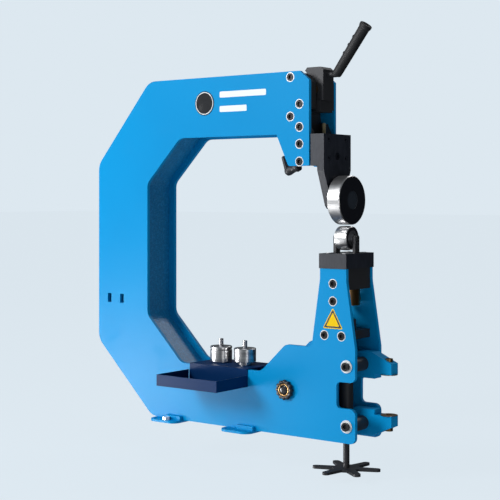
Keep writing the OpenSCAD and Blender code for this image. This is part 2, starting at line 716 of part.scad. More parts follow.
module spindle() color(black) translate([wheel_x, 0, 0]) difference() {
    union() {
        translate([0, 0, spindle_bottom]) cylinder(r = spindle_r, h = ram_z[0] + 17.9 - spindle_bottom);
        translate([0, 0, 150]) cylinder(r = thread_r, h = 120);
        translate([0, 0, spindle_bottom]) cylinder(r = 7.5, h = star_z[0] - spindle_bottom);
    }
}

star_arms = 6;
arm_half_w = 7.5;
root_half_w = 9.5;
star_hub_r = 28;

// One arm's outline with its round tip, then the arc of the hub up to the next arm
function star_arm(a) =
    let (root = asin(root_half_w / star_hub_r),
         gap = 360 / star_arms - 2 * root)
    concat([for (t = [-90:10:90]) turned([star_r - arm_half_w + arm_half_w * cos(t), arm_half_w * sin(t)], a)],
        [for (i = [0:4]) turned([star_hub_r, 0], a + root + gap * i / 4)]);

module star_wheel() color(black) translate([wheel_x, 0, star_z[0]])
    linear_extrude(height = star_z[1] - star_z[0]) difference() {
        polygon([for (i = [0:star_arms - 1]) each star_arm(22.4 + i * 360 / star_arms)]);
        circle(r = spindle_r);
    }

// ---- clamp lever and star knob --------------------------------------------------

module clamp_lever() color(black) {
    on_clamp() {
        translate([0, 0, -6.3]) cylinder(r = 4, h = 20);
        translate([0, 0, 13]) cylinder(r = 11.5, h = 9);
        translate([0, 0, 21]) cylinder(r = 9.2, h = 18);
    }
    hull() {
        on_clamp() translate([0, 0, 39]) sphere(r = 9.8, $fn = 24);
        on_clamp() translate([0, 0, 44]) sphere(r = 7.3, $fn = 24);
        translate([jaw_x - 100.2, 0, 574]) sphere(r = 5.5, $fn = 24);
    }
}

knob_lobes = 12;
knob_r = 21;
knob_wave = 1.2;
knob_h = 9;

module star_knob() color(black) out_of_plate(knob_at, half_w + slide_gap) {
    difference() {
        linear_extrude(height = knob_h)
            polygon([for (a = [0:3:357]) turned([knob_r - knob_wave + knob_wave * cos(knob_lobes * a), 0], a)]);
        translate([0, 0, knob_h - 3]) cylinder(r = 13.5, h = 10);
    }
    translate([0, 0, -plate_t - 24]) cylinder(r = knob_stud_r, h = plate_t + 25);
}

// ---- tray, rollers and badge ----------------------------------------------------

module tool_tray() color(navy) difference() {
    union() {
        box([tray_x[0] + 5, tray_x[1]], [-half_w - tray_t, half_w], [lower_arm_z, lower_arm_z + tray_t]);
        box([tray_x[0] + 5, tray_x[1]], [-half_w - tray_t, -half_w], [tray_z[0], lower_arm_z + tray_t]);
        box(tray_x, [tray_y, -half_w - tray_t], [tray_z[0], tray_z[0] + tray_t]);
        box(tray_x, [tray_y, tray_y + tray_t], tray_z);
        for (x = [tray_x[0], tray_x[1] - tray_t])
            box([x, x + tray_t], [tray_y, -half_w - tray_t], tray_z);
    }
    for (x = spare_x) translate([x, 0, lower_arm_z - cut]) cylinder(r = spare_axle_r + 0.3, h = 5);
}

shelf_z = lower_arm_z + tray_t;

module crowned_roller() color(steel) translate([spare_x[0], 0, shelf_z]) rotate_extrude($fn = 96)
    polygon([[spare_axle_r, 0], [spare_r - 2, 0], [spare_r, 3], [spare_r, 28], [spare_r - 1.5, 29],
        [spare_r - 1.5, 30], [spare_r, 31], [spare_r, spare_h - 1],
        [spare_r - 1, spare_h], [spare_axle_r, spare_h]]);

module flat_roller() color(steel) translate([spare_x[1], 0, shelf_z]) rotate_extrude($fn = 96)
    polygon([[spare_axle_r, 0], [15, 0], [15, 6.5], [spare_r - 1, 6.5], [spare_r, 7.5],
        [spare_r, spare_h - 1], [spare_r - 1, spare_h], [spare_axle_r, spare_h]]);

module roller_axle(x, top) color(dark_steel) translate([x, 0, shelf_z - 6])
    cylinder(r = spare_axle_r, h = top - shelf_z + 6);

module crowned_roller_axle() roller_axle(spare_x[0], 180);
module flat_roller_axle() roller_axle(spare_x[1], 180);

module badge() color(black) out_of_plate([318, 694], half_w) cylinder(r = 26, h = 1);

// ---- every node in its place ----------------------------------------------------

place() right_side_plate();
place() left_side_plate();
place() throat_liner();
place() shoulder_web();
place() outer_skin();
place() rear_foot();
place() front_foot();
place() levelling_screws();
place() tower_cap();
place() cap_screws();
place() ram_guide_block();
place() ram_bush();
place() nut_block();
place() spindle_nut();
place() spindle_tube();
place() tower_screws();
place() jaw_screws();
place() screw_washers();
place() hinge_arms();
place() arm_bushes();
place() arm_spacers();
place() arm_bolts();
place() cam_bearing_blocks();
place() cam_pin();
place() cam_thrust_washers();
place() guide_back_block();
place() guide_rails();
place() return_springs();
place() tool_tray();
place() badge();
place() cam_lever_hub();
place() lever_rod();
place() lever_grip();
place() grip_end_plug();
place() upper_ram();
place() slide_block();
place() wheel_bracket();
place() bracket_screws();
place() ram_bolt();
place() height_stud();
place() upper_axle();
place() upper_wheel();
place() upper_wheel_bearings();
place() upper_hub_cap();
place() lower_ram();
place() fork_legs();
place() fork_screws();
place() lower_axle();
place() thrust_ball();
place() lower_wheel();
place() lower_wheel_bearings();
place() spindle();
place() star_wheel();
place() clamp_lever();
place() star_knob();
place() crowned_roller();
place() crowned_roller_axle();
place() flat_roller();
place() flat_roller_axle();
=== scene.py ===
"""Surfaces, fittings and stage for a bench wheeling machine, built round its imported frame."""

import json
import math

import bpy
import numpy as np
from bpy.props import FloatProperty, FloatVectorProperty, IntProperty, PointerProperty
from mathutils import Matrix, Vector


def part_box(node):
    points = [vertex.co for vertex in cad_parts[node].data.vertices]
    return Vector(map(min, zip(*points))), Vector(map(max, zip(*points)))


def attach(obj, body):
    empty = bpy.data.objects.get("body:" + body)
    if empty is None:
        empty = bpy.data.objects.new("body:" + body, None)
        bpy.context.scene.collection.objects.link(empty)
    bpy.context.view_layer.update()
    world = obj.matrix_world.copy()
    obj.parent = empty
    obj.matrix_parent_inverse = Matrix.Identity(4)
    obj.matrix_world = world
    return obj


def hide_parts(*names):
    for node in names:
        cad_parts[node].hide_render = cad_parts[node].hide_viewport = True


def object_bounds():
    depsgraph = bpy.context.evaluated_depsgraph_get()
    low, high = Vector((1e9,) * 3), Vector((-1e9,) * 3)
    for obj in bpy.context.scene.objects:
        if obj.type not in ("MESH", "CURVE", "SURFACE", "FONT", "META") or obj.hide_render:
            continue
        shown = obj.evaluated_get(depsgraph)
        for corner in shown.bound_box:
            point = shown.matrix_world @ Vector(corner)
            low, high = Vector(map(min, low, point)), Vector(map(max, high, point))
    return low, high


bl_info = {
    "name": "Wheeling Machine",
    "version": (1, 0, 0),
    "blender": (4, 5, 0),
    "location": "View3D > Sidebar > Wheeling",
    "description": "Finishes, rubber grip, knob, decals and studio for a sheet-metal wheeling machine",
    "category": "Object",
}

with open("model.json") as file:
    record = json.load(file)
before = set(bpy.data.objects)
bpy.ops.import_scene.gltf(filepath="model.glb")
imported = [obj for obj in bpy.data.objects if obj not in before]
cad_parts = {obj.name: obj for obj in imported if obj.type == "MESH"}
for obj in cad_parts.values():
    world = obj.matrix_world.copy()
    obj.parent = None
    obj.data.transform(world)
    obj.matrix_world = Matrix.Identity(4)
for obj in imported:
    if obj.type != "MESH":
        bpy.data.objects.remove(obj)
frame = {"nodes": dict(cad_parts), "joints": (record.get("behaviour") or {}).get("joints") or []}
CAD_LOW, CAD_HIGH = [tuple(corner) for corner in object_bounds()]
MM = 0.001


def node_points(node):
    """Every vertex of a frame node, as an (n, 3) array."""
    mesh = frame["nodes"][node].data
    points = np.empty(len(mesh.vertices) * 3)
    mesh.vertices.foreach_get("co", points)
    return points.reshape(-1, 3)


def middle(node):
    """The middle of a frame node's box."""
    low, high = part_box(node)
    return (np.array(low) + np.array(high)) / 2


# ---- sizes and colours ------------------------------------------------------------


class GripSizes(bpy.types.PropertyGroup):
    """Rubber grip on the cam lever"""

    tilt: FloatProperty(name="Tilt", description="Lean of the lever from the vertical",
                        default=math.radians(36.6), subtype="ANGLE")
    inner_radius: FloatProperty(name="Inner radius", description="Radius beside the hub",
                                default=9.6 * MM, unit="LENGTH")
    outer_radius: FloatProperty(name="Outer radius", description="Radius below the end flange",
                                default=11.2 * MM, unit="LENGTH")
    flange: FloatProperty(name="Flange", description="Radius of the flange at the free end",
                          default=13.2 * MM, unit="LENGTH")
    rib_pitch: FloatProperty(name="Rib pitch", description="Distance between two ribs",
                             default=3.2 * MM, unit="LENGTH")
    nubs: IntProperty(name="Finger nubs", description="Raised nubs along the back of the grip",
                      default=3, min=0, max=6)


class DecalSizes(bpy.types.PropertyGroup):
    """Plain marks on the right-hand plate"""

    film: FloatProperty(name="Film", description="Thickness of a decal",
                        default=0.25 * MM, unit="LENGTH")
    white: FloatVectorProperty(name="White", description="Colour of the plain bars and ring",
                               default=(0.86, 0.90, 0.92), size=3, subtype="COLOR")
    yellow: FloatVectorProperty(name="Yellow", description="Colour of the triangle",
                                default=(0.93, 0.60, 0.0), size=3, subtype="COLOR")


class StudioSettings(bpy.types.PropertyGroup):
    """Backdrop, light and camera"""

    backdrop: FloatVectorProperty(name="Backdrop", description="Colour of wall and floor",
                                  default=(0.723, 0.807, 0.871), size=3, subtype="COLOR")
    key: FloatProperty(name="Key light", description="Power of the soft light from the left",
                       default=158.0, min=0, unit="POWER")
    bounce: FloatProperty(name="Floor bounce", description="Light that the floor gives back",
                          default=0.6, min=0)
    focal_length: FloatProperty(name="Focal length", description="Focal length on a 36 mm sensor",
                                default=89.352, subtype="NONE")
    heading: FloatProperty(name="Heading", description="Direction of view, turned from +Y",
                           default=math.radians(37.4), subtype="ANGLE")


# ---- mesh makers ------------------------------------------------------------------


def new_piece(name, vertices, faces, material, body, slot, smooth=True):
    """Puts vertices and faces in a mesh and makes it ride on a body of the frame."""
    mesh = bpy.data.meshes.new(name)
    mesh.from_pydata(np.asarray(vertices).tolist(), [], [list(map(int, f)) for f in faces])
    mesh.update()
    mesh.polygons.foreach_set("use_smooth", [smooth] * len(mesh.polygons))
    mesh.materials.append(finish_for(material))
    piece = bpy.data.objects.new(name, mesh)
    bpy.context.collection.objects.link(piece)
    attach(piece, body)
    return piece


def tube_faces(rings, sides, first=0):
    """Quads between rings that each have the same number of points, wrapping round."""
    ring, side = np.meshgrid(np.arange(rings - 1), np.arange(sides), indexing="ij")
    a = first + ring * sides + side
    b = first + ring * sides + (side + 1) % sides
    return np.stack([a, b, b + sides, a + sides], axis=-1).reshape(-1, 4)


def closed_skin(grid):
    """A tube of rings, closed by a fan at each end: returns its vertices and faces."""
    rings, sides, _ = grid.shape
    vertices = np.concatenate([grid.reshape(-1, 3), grid[0].mean(0)[None], grid[-1].mean(0)[None]])
    side = np.arange(sides)
    near = np.stack([(side + 1) % sides, side, np.full(sides, rings * sides)], axis=-1)
    last = (rings - 1) * sides
    far = np.stack([last + side, last + (side + 1) % sides, np.full(sides, rings * sides + 1)], axis=-1)
    return vertices, [*tube_faces(rings, sides), *near, *far]


def joined(*shells):
    """Several vertex and face sets as one."""
    vertices, faces, start = [], [], 0
    for shell_vertices, shell_faces in shells:
        vertices.append(shell_vertices)
        faces += [np.asarray(face) + start for face in shell_faces]
        start += len(shell_vertices)
    return np.concatenate(vertices), faces


def basis(direction):
    """A direction as a unit vector, and two more square to it, the first as near to +Y as it can be."""
    direction = np.asarray(direction, float) / np.linalg.norm(direction)
    across = np.array([0.0, 1.0, 0.0]) - direction[1] * direction
    if np.linalg.norm(across) < 0.1:
        across = np.array([1.0, 0.0, 0.0]) - direction[0] * direction
    across /= np.linalg.norm(across)
    return direction, across, np.cross(direction, across)


def turned_rings(origin, direction, along, radius):
    """Rings about an axis, from (rings, sides) arrays of `along` and `radius`.

    A point is the origin, plus `along` down the axis, plus `radius` times the cosine and the sine
    of its side's angle along the two directions square to the axis.
    """
    direction, across, up = basis(direction)
    angle = np.linspace(0, 2 * np.pi, radius.shape[1], endpoint=False)
    spoke = np.cos(angle)[:, None] * across + np.sin(angle)[:, None] * up
    return (np.asarray(origin) + along[..., None] * direction + radius[..., None] * spoke[None])


def lathe(origin, direction, profile, sides=64):
    """A solid turned about an axis from (along, radius) pairs, as closed rings."""
    profile = np.asarray(profile, float)
    ones = np.ones((1, sides))
    return closed_skin(turned_rings(origin, direction, profile[:, :1] * ones, profile[:, 1:] * ones))


def ring_shell(origin, direction, profile, sides=64):
    """A ring: a closed (along, radius) profile carried once round an axis."""
    profile = np.asarray(profile, float)
    profile = np.concatenate([profile, profile[:1]])
    ones = np.ones((1, sides))
    grid = turned_rings(origin, direction, profile[:, :1] * ones, profile[:, 1:] * ones)
    return grid[:-1].reshape(-1, 3), np.concatenate(
        [tube_faces(len(profile) - 1, sides), wrap_faces(len(profile) - 1, sides)])


def wrap_faces(rings, sides):
    """Quads from the last ring back to the first."""
    side = np.arange(sides)
    last = (rings - 1) * sides
    return np.stack([last + side, last + (side + 1) % sides, (side + 1) % sides, side], axis=-1)


def film_shell(outline, outer_y, thickness):
    """A flat film in the X-Z plane, standing off a plate that faces -Y."""
    outline = np.asarray(outline, float)
    count = len(outline)
    back = np.insert(outline, 1, outer_y, axis=1)
    front = np.insert(outline, 1, outer_y - thickness, axis=1)
    i = np.arange(count)
    sides = np.stack([i, (i + 1) % count, (i + 1) % count + count, i + count], axis=-1)
    return np.concatenate([back, front]), [*sides, np.arange(count)[::-1], np.arange(count) + count]


def frame_shell(outline, hole, outer_y, thickness):
    """A flat film with a hole: both outlines have the same number of points."""
    rows = [np.insert(np.asarray(o, float), 1, y, axis=1)
            for o, y in [(outline, outer_y), (outline, outer_y - thickness),
                         (hole, outer_y - thickness), (hole, outer_y)]]
    grid = np.stack(rows)
    return grid.reshape(-1, 3), np.concatenate(
        [tube_faces(4, len(outline)), wrap_faces(4, len(outline))])


def round_corners(corners, radius, steps=6):
    """A convex polygon, anticlockwise, with each corner replaced by an arc."""
    corners = np.asarray(corners, float)
    points = []
    for before, here, after in zip(np.roll(corners, 1, 0), corners, np.roll(corners, -1, 0)):
        u = (before - here) / np.linalg.norm(before - here)
        v = (after - here) / np.linalg.norm(after - here)
        half = math.acos(np.clip(u @ v, -1, 1)) / 2
        centre = here + (u + v) / np.linalg.norm(u + v) * radius / math.sin(half)
        start = here + u * radius / math.tan(half) - centre
        end = here + v * radius / math.tan(half) - centre
        a0 = math.atan2(start[1], start[0])
        sweep = (math.atan2(end[1], end[0]) - a0 + math.pi) % (2 * math.pi) - math.pi
        angle = a0 + sweep * np.linspace(0, 1, steps)
        points.append(centre + radius * np.stack([np.cos(angle), np.sin(angle)], axis=-1))
    return np.concatenate(points)


# ---- shader groups ----------------------------------------------------------------


def add(tree, kind, **values):
    """A node of one kind, with its settings and its sockets' values."""
    made = tree.nodes.new(kind)
    for key, value in values.items():
        if hasattr(made, key):
            setattr(made, key, value)
        else:
            made.inputs[key.replace("_", " ")].default_value = value
    return made


def wire(tree, source, target):
    """Links one socket to another."""
    tree.links.new(source, target)


def new_group(name, inputs, outputs):
    """An empty shader group with its sockets, and its two end nodes."""
    tree = bpy.data.node_groups.new(name, "ShaderNodeTree")
    for label, kind, default in inputs:
        made = tree.interface.new_socket(name=label, in_out="INPUT", socket_type=kind)
        if default is not None:
            made.default_value = default
    for label, kind in outputs:
        tree.interface.new_socket(name=label, in_out="OUTPUT", socket_type=kind)
    return tree, tree.nodes.new("NodeGroupInput"), tree.nodes.new("NodeGroupOutput")


VECTOR, FLOAT = "NodeSocketVector", "NodeSocketFloat"


def coat_group():
    """Powder coat: a fine skin of rounded grains, and slow drifts of tone."""
    tree, start, end = new_group(
        "powder_skin", [("Vector", VECTOR, None), ("Grain", FLOAT, 900.0), ("Height", FLOAT, 0.05),
                        ("Drift", FLOAT, 3.0)], [("Normal", VECTOR), ("Tone", FLOAT), ("Grains", FLOAT)])
    fine = add(tree, "ShaderNodeTexNoise", Detail=3.0, Roughness=0.55)
    slow = add(tree, "ShaderNodeTexNoise", Detail=2.0)
    bump = add(tree, "ShaderNodeBump", Distance=0.001)
    for noise, scale in ((fine, "Grain"), (slow, "Drift")):
        wire(tree, start.outputs["Vector"], noise.inputs["Vector"])
        wire(tree, start.outputs[scale], noise.inputs["Scale"])
    wire(tree, fine.outputs["Fac"], bump.inputs["Height"])
    wire(tree, start.outputs["Height"], bump.inputs["Strength"])
    wire(tree, bump.outputs["Normal"], end.inputs["Normal"])
    wire(tree, slow.outputs["Fac"], end.inputs["Tone"])
    wire(tree, fine.outputs["Fac"], end.inputs["Grains"])
    return tree


def turning_group():
    """Tool marks of a lathe: noise of the radius and the distance along X only."""
    tree, start, end = new_group(
        "turning_marks", [("Vector", VECTOR, None), ("Lines", FLOAT, 900.0), ("Height", FLOAT, 0.1)],
        [("Normal", VECTOR), ("Streak", FLOAT)])
    split = add(tree, "ShaderNodeSeparateXYZ")
    flat = add(tree, "ShaderNodeCombineXYZ")
    length = add(tree, "ShaderNodeVectorMath", operation="LENGTH")
    both = add(tree, "ShaderNodeCombineXYZ")
    lines = add(tree, "ShaderNodeTexNoise", Detail=4.0, Roughness=0.7)
    bump = add(tree, "ShaderNodeBump", Distance=0.001)
    wire(tree, start.outputs["Vector"], split.inputs[0])
    wire(tree, split.outputs["Y"], flat.inputs["Y"])
    wire(tree, split.outputs["Z"], flat.inputs["Z"])
    wire(tree, flat.outputs[0], length.inputs[0])
    wire(tree, length.outputs["Value"], both.inputs["Y"])
    wire(tree, split.outputs["X"], both.inputs["X"])
    wire(tree, both.outputs[0], lines.inputs["Vector"])
    wire(tree, start.outputs["Lines"], lines.inputs["Scale"])
    wire(tree, lines.outputs["Fac"], bump.inputs["Height"])
    wire(tree, start.outputs["Height"], bump.inputs["Strength"])
    wire(tree, bump.outputs["Normal"], end.inputs["Normal"])
    wire(tree, lines.outputs["Fac"], end.inputs["Streak"])
    return tree


def handling_group():
    """Handling marks: scattered soft patches where a surface has been touched or rubbed."""
    tree, start, end = new_group(
        "handling_marks", [("Vector", VECTOR, None), ("Size", FLOAT, 25.0), ("Spread", FLOAT, 0.55)],
        [("Mask", FLOAT)])
    patch = add(tree, "ShaderNodeTexNoise", Detail=6.0, Roughness=0.65)
    step = add(tree, "ShaderNodeMapRange", interpolation_type="SMOOTHSTEP")
    top = add(tree, "ShaderNodeMath", operation="ADD")
    top.inputs[1].default_value = 0.25
    wire(tree, start.outputs["Vector"], patch.inputs["Vector"])
    wire(tree, start.outputs["Size"], patch.inputs["Scale"])
    wire(tree, patch.outputs["Fac"], step.inputs["Value"])
    wire(tree, start.outputs["Spread"], step.inputs["From Min"])
    wire(tree, start.outputs["Spread"], top.inputs[0])
    wire(tree, top.outputs[0], step.inputs["From Max"])
    wire(tree, step.outputs["Result"], end.inputs["Mask"])
    return tree


def shared(name, maker):
    """The shader group with this name, made on first use."""
    return bpy.data.node_groups.get(name) or maker()


def place_group(tree, group, **values):
    """A shader group placed in a material, with its own values."""
    made = tree.nodes.new("ShaderNodeGroup")
    made.node_tree = group
    for key, value in values.items():
        made.inputs[key].default_value = value
    return made


def new_material(name, roughness, metallic=0.0, **constants):
    """A material with a Principled shader whose constants sit on its own sockets."""
    made = bpy.data.materials.new(name)
    made.use_nodes = True
    shader = made.node_tree.nodes["Principled BSDF"]
    shader.inputs["Roughness"].default_value = roughness
    shader.inputs["Metallic"].default_value = metallic
    for key, value in constants.items():
        shader.inputs[key.replace("_", " ")].default_value = value
    return made, made.node_tree, shader


def tone_between(tree, factor, dark, light, shader, low=0.35, high=0.65):
    """Base colour that runs from dark to light over a factor."""
    ramp = add(tree, "ShaderNodeValToRGB")
    ramp.color_ramp.elements[0].position, ramp.color_ramp.elements[1].position = low, high
    ramp.color_ramp.elements[0].color = (*dark, 1)
    ramp.color_ramp.elements[1].color = (*light, 1)
    wire(tree, factor, ramp.inputs["Fac"])
    wire(tree, ramp.outputs["Color"], shader.inputs["Base Color"])
    return ramp


def roughness_between(tree, factor, low, high, shader):
    """Roughness that runs from low to high over a factor."""
    spread = add(tree, "ShaderNodeMapRange", To_Min=low, To_Max=high)
    wire(tree, factor, spread.inputs["Value"])
    wire(tree, spread.outputs["Result"], shader.inputs["Roughness"])


def coated(name, dark, light, grain, height, drift, rough, **constants):
    """Powder coat or plastic: drifting tone, a grained skin, and rougher rubbed patches."""
    made, tree, shader = new_material(name, rough, **constants)
    place = add(tree, "ShaderNodeTexCoord").outputs["Object"]
    skin = place_group(tree, shared("powder_skin", coat_group), Grain=grain, Height=height, Drift=drift)
    marks = place_group(tree, shared("handling_marks", handling_group), Size=18.0, Spread=0.52)
    wire(tree, place, skin.inputs["Vector"])
    wire(tree, place, marks.inputs["Vector"])
    tone_between(tree, skin.outputs["Tone"], dark, light, shader)
    roughness_between(tree, marks.outputs["Mask"], rough, rough + 0.12, shader)
    wire(tree, skin.outputs["Normal"], shader.inputs["Normal"])
    return made


def wrinkled(name, dark, light, height):
    """Wrinkle finish: crossing ridges that catch the light as small bright specks."""
    made, tree, shader = new_material(name, 0.42, Coat_Weight=0.3, Coat_Roughness=0.25)
    place = add(tree, "ShaderNodeTexCoord").outputs["Object"]
    ridges = add(tree, "ShaderNodeTexVoronoi", feature="SMOOTH_F1", Scale=330.0, Smoothness=0.6)
    warp = place_group(tree, shared("powder_skin", coat_group), Grain=160.0, Height=height, Drift=5.0)
    bump = add(tree, "ShaderNodeBump", Strength=height, Distance=0.002)
    wire(tree, place, ridges.inputs["Vector"])
    wire(tree, place, warp.inputs["Vector"])
    wire(tree, ridges.outputs["Distance"], bump.inputs["Height"])
    wire(tree, warp.outputs["Normal"], bump.inputs["Normal"])
    tone_between(tree, warp.outputs["Grains"], dark, light, shader, 0.45, 0.72)
    wire(tree, bump.outputs["Normal"], shader.inputs["Normal"])
    return made


def side_mask(tree, axis, low, high):
    """How squarely a surface faces along one axis, as a mask from 0 to 1."""
    facing = add(tree, "ShaderNodeSeparateXYZ")
    size = add(tree, "ShaderNodeMath", operation="ABSOLUTE")
    mask = add(tree, "ShaderNodeMapRange", From_Min=low, From_Max=high)
    wire(tree, add(tree, "ShaderNodeTexCoord").outputs["Normal"], facing.inputs[0])
    wire(tree, facing.outputs[axis], size.inputs[0])
    wire(tree, size.outputs[0], mask.inputs["Value"])
    return mask.outputs["Result"]


def paint_side_shade(tree, ramp, shader, dark, metallic):
    """Paints shade on the faces square to the axle, dark and less metallic, and leaves the rim bright."""
    mask = side_mask(tree, "X", 0.80, 0.95)
    side_shade_mix = add(tree, "ShaderNodeMix", data_type="RGBA")
    side_shade_mix.inputs["B"].default_value = (*dark, 1)
    metal = add(tree, "ShaderNodeMapRange", To_Min=1.0, To_Max=metallic)
    wire(tree, mask, side_shade_mix.inputs["Factor"])
    wire(tree, ramp.outputs["Color"], side_shade_mix.inputs["A"])
    wire(tree, side_shade_mix.outputs["Result"], shader.inputs["Base Color"])
    wire(tree, mask, metal.inputs["Value"])
    wire(tree, metal.outputs["Result"], shader.inputs["Metallic"])


def turned(name, dark, light, centre, lines, height, rough, metallic=1.0, sides=None):
    """Turned or ground metal: fine rings round an X axis through a centre; sides, if given, is the colour of
    painted shade on the faces square to the axle.
    """
    made, tree, shader = new_material(name, rough, metallic)
    place = add(tree, "ShaderNodeTexCoord").outputs["Object"]
    shift = add(tree, "ShaderNodeMapping", Location=tuple(-c for c in centre))
    marks = place_group(tree, shared("turning_marks", turning_group), Lines=lines, Height=height)
    rubbed = place_group(tree, shared("handling_marks", handling_group), Size=40.0, Spread=0.5)
    wire(tree, place, shift.inputs["Vector"])
    wire(tree, shift.outputs["Vector"], marks.inputs["Vector"])
    wire(tree, place, rubbed.inputs["Vector"])
    ramp = tone_between(tree, marks.outputs["Streak"], dark, light, shader, 0.3, 0.7)
    # painted shade: the flat faces square to the axle are darkened to the sides colour
    if sides:
        paint_side_shade(tree, ramp, shader, sides, 0.35)
    roughness_between(tree, rubbed.outputs["Mask"], rough, rough + 0.15, shader)
    wire(tree, marks.outputs["Normal"], shader.inputs["Normal"])
    return made


def milled(name, dark, light, stretch, height, rough, metallic):
    """Milled or blackened steel: a grain drawn out along one direction."""
    made, tree, shader = new_material(name, rough, metallic)
    place = add(tree, "ShaderNodeTexCoord").outputs["Object"]
    pull = add(tree, "ShaderNodeMapping", Scale=stretch)
    skin = place_group(tree, shared("powder_skin", coat_group), Grain=220.0, Height=height, Drift=9.0)
    rubbed = place_group(tree, shared("handling_marks", handling_group), Size=35.0, Spread=0.5)
    wire(tree, place, pull.inputs["Vector"])
    wire(tree, pull.outputs["Vector"], skin.inputs["Vector"])
    wire(tree, place, rubbed.inputs["Vector"])
    tone_between(tree, skin.outputs["Grains"], dark, light, shader)
    roughness_between(tree, rubbed.outputs["Mask"], rough, rough + 0.15, shader)
    wire(tree, skin.outputs["Normal"], shader.inputs["Normal"])
    return made


UPPER_CENTRE, LOWER_CENTRE = middle("upper_wheel"), middle("lower_wheel")


def film(name, colour, shade, gloss):
    """Printed film: one colour that drifts down to a shade of itself."""
    return coated(name, tuple(shade * c for c in colour), tuple(colour), 600.0, 0.04, 12.0, 0.4,
                  Specular_IOR_Level=gloss)


# coated: dark, light, grain, height, drift, roughness.  milled: dark, light, stretch, height,
# roughness, metallic.  turned: dark, light, centre, lines, height, roughness.
FINISHES = {
    "azure_powder_coat": lambda n: coated(
        n, (0.0, 0.265, 0.595), (0.0, 0.29, 0.64), 700.0, 0.10, 2.5, 0.40, Specular_IOR_Level=0.09),
    "deep_azure_coat": lambda n: wrinkled(n, (0.0, 0.19, 0.43), (0.015, 0.28, 0.60), 0.55),
    "navy_tray_coat": lambda n: coated(
        n, (0.0, 0.021, 0.090), (0.001, 0.027, 0.108), 500.0, 0.12, 6.0, 0.42, Specular_IOR_Level=0.07),
    "black_oxide": lambda n: milled(
        n, (0.008, 0.008, 0.010), (0.018, 0.017, 0.020), (1, 1, 0.12), 0.08, 0.42, 0.1),
    "black_bracket": lambda n: milled(
        n, (0.012, 0.015, 0.023), (0.024, 0.027, 0.039), (1, 1, 0.2), 0.08, 0.42, 0.1),
    "black_screw": lambda n: milled(
        n, (0.012, 0.012, 0.014), (0.030, 0.030, 0.034), (1, 1, 1), 0.06, 0.30, 0.5),
    # The wheels' sides colours are painted shade on their flat faces, not a black finish.
    "ground_upper_wheel": lambda n: turned(
        n, (0.52, 0.52, 0.53), (0.80, 0.79, 0.79), UPPER_CENTRE, 1500.0, 0.05, 0.32,
        sides=(0.012, 0.013, 0.018)),
    "ground_lower_wheel": lambda n: turned(
        n, (0.50, 0.50, 0.51), (0.76, 0.76, 0.76), LOWER_CENTRE, 1500.0, 0.05, 0.32,
        sides=(0.020, 0.020, 0.024)),
    "black_wheel_cap": lambda n: turned(
        n, (0.020, 0.026, 0.036), (0.034, 0.042, 0.055), UPPER_CENTRE, 700.0, 0.06, 0.35, 0.2),
    "bright_steel": lambda n: milled(
        n, (0.50, 0.50, 0.51), (0.72, 0.72, 0.72), (1, 1, 0.08), 0.12, 0.24, 1.0),
    "dark_steel": lambda n: milled(
        n, (0.16, 0.16, 0.17), (0.30, 0.30, 0.31), (1, 1, 0.2), 0.10, 0.30, 1.0),
    "turned_roller": lambda n: milled(
        n, (0.42, 0.42, 0.43), (0.70, 0.70, 0.70), (0.02, 0.02, 1), 0.05, 0.30, 1.0),
    "bearing_bronze": lambda n: milled(
        n, (0.30, 0.17, 0.07), (0.48, 0.30, 0.13), (1, 1, 0.2), 0.08, 0.32, 1.0),
    "zinc_plate": lambda n: milled(
        n, (0.74, 0.74, 0.75), (0.92, 0.92, 0.92), (1, 1, 1), 0.06, 0.30, 0.2),
    "brass_stud": lambda n: milled(
        n, (0.38, 0.33, 0.20), (0.68, 0.60, 0.40), (1, 1, 0.2), 0.08, 0.30, 0.6),
    "grip_rubber": lambda n: coated(
        n, (0.008, 0.008, 0.009), (0.018, 0.018, 0.020), 1100.0, 0.25, 12.0, 0.55),
    "moulded_plastic": lambda n: coated(
        n, (0.010, 0.010, 0.011), (0.018, 0.018, 0.020), 900.0, 0.10, 12.0, 0.38),
    "badge_enamel": lambda n: coated(
        n, (0.004, 0.005, 0.007), (0.008, 0.009, 0.012), 400.0, 0.03, 12.0, 0.22),
    "white_film": lambda n: film(n, decals().white, 0.95, 0.15),
    "yellow_film": lambda n: film(n, decals().yellow, 0.94, 0.1),
    "dark_film": lambda n: coated(
        n, (0.012, 0.014, 0.03), (0.018, 0.02, 0.04), 600.0, 0.04, 12.0, 0.4),
}


def finish_for(name):
    """The finish with this name, made on first use."""
    return bpy.data.materials.get(name) or FINISHES[name](name)


